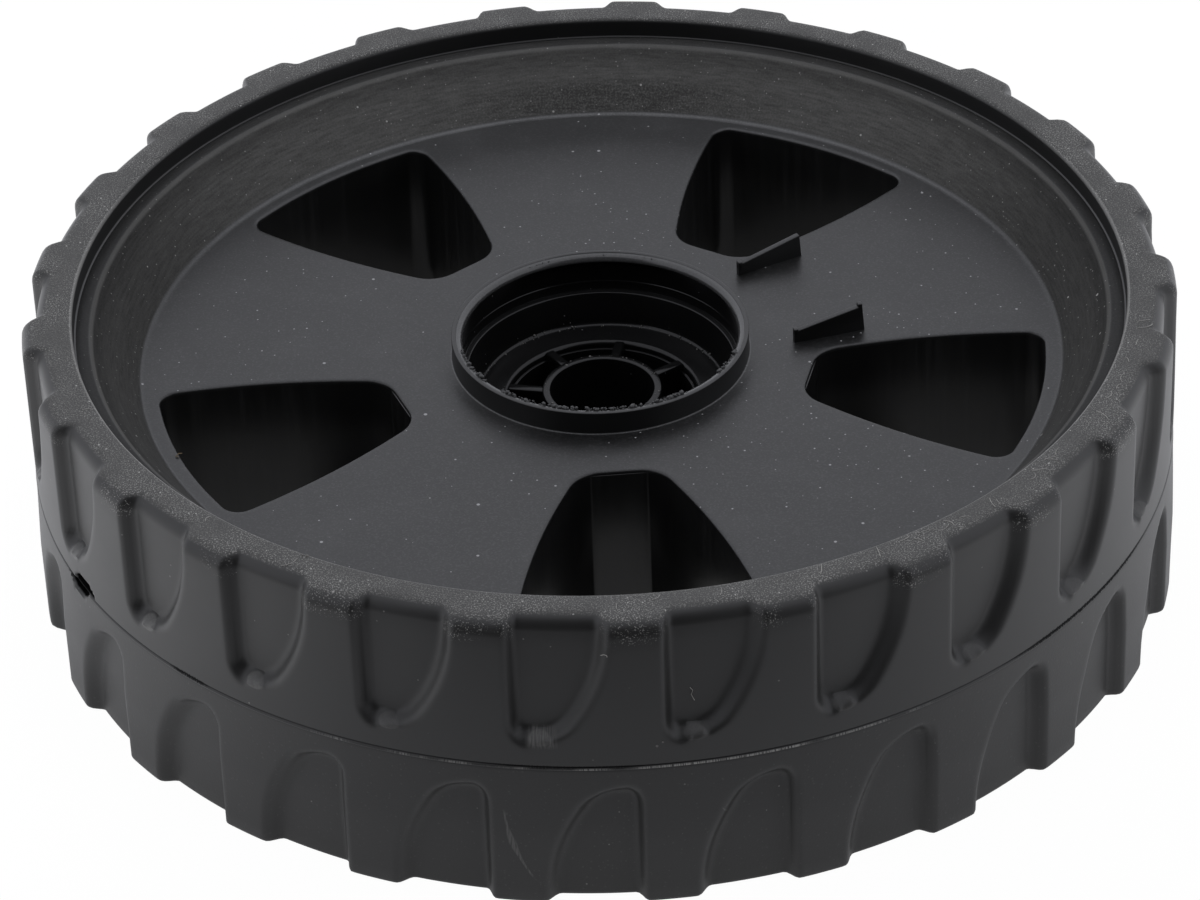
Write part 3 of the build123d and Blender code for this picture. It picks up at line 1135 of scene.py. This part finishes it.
def makeFloor():
    deselectAll()
    bpy.ops.mesh.primitive_plane_add(size=8, location=(0, 0, studio["floor"] * mm))
    floor = bpy.context.object
    floor.name = "floor"
    made = bpy.data.materials.new("floor_white")
    made.use_nodes = True
    tree = made.node_tree
    tree.nodes.clear()
    flow = Flow(tree)
    place = flow.node("ShaderNodeTexCoord", None, None, "Object")
    along = flow.node("ShaderNodeSeparateXYZ", None, {0: place}, 1)
    aside = flow.node("ShaderNodeSeparateXYZ", None, {0: place}, 0)
    clear = along.above(studio["floorFar"], studio["floorNear"])  # the floor darkens towards the viewer
    around = ((aside * aside + along * along) ** 0.5).above(0.09, 0.13)
    pale = 0.02 + 0.5 * clear + 0.12 * along.above(-0.18, -0.1) + 0.16 * along.above(-0.12, 0.0)
    matte = flow.node("ShaderNodeBsdfDiffuse", None, {"Color": pale})
    beside = flow.maths("ABSOLUTE", aside).above(0.06, 0.18)
    ring = studio["floorRing"] * beside - studio["floorDip"] * (1 - beside) * (1 - along.above(-0.12, -0.06))
    ring = ring + studio["floorLeft"] * (1 - aside.above(-0.14, -0.06))
    glowing = studio["floorGlow"] * (1 + ring * around) * clear
    lit = flow.node("ShaderNodeEmission", None, {"Color": (1, 1, 1, 1), "Strength": glowing})
    table = flow.node("ShaderNodeAddShader", None, {0: matte, 1: lit})
    glow = flow.node("ShaderNodeEmission", None, {"Color": (1, 1, 1, 1), "Strength": 1.0})
    seen = flow.node("ShaderNodeLightPath", None, None, "Is Camera Ray")
    mixed = flow.node("ShaderNodeMixShader", None, {0: seen * 0.97, 1: table, 2: glow})
    end = tree.nodes.new("ShaderNodeOutputMaterial")
    tree.links.new(mixed.socket, end.inputs["Surface"])
    dress(floor, made)


def makeWorld():
    world = bpy.data.worlds.new("studio")
    world.use_nodes = True
    bpy.context.scene.world = world
    tree = world.node_tree
    tree.nodes.clear()
    flow = Flow(tree)
    heading = flow.node("ShaderNodeTexCoord", None, None, "Generated")
    front = Vector(studio["dimSide"]).normalized()
    toFront = flow.node("ShaderNodeVectorMath", {"operation": "DOT_PRODUCT"}, {0: heading, 1: front}, "Value")
    shade = studio["skyLevel"] - studio["skyDim"] * toFront.above(studio["dimStart"], studio["dimEnd"])
    soft = flow.node("ShaderNodeBackground", None, {"Color": studio["sky"], "Strength": shade})
    white = flow.node("ShaderNodeBackground", None, {"Color": (1, 1, 1, 1), "Strength": 1.0})
    seen = flow.node("ShaderNodeLightPath", None, None, "Is Camera Ray")
    mixed = flow.node("ShaderNodeMixShader", None, {0: seen, 1: soft, 2: white})
    end = tree.nodes.new("ShaderNodeOutputWorld")
    tree.links.new(mixed.socket, end.inputs["Surface"])


def makeCamera():
    data = bpy.data.cameras.new("camera")
    data.lens = studio["lens"]
    data.sensor_width = 36
    data.sensor_fit = "HORIZONTAL"
    data.clip_end = 20
    camera = bpy.data.objects.new("camera", data)
    bpy.context.scene.collection.objects.link(camera)
    camera.location = studio["eye"]
    camera.rotation_euler = [math.radians(a) for a in studio["turn"]]
    bpy.context.scene.camera = camera


makeFloor()
makeWorld()
makeCamera()
bpy.context.scene.view_settings.view_transform = "Standard"
print("studio ready")
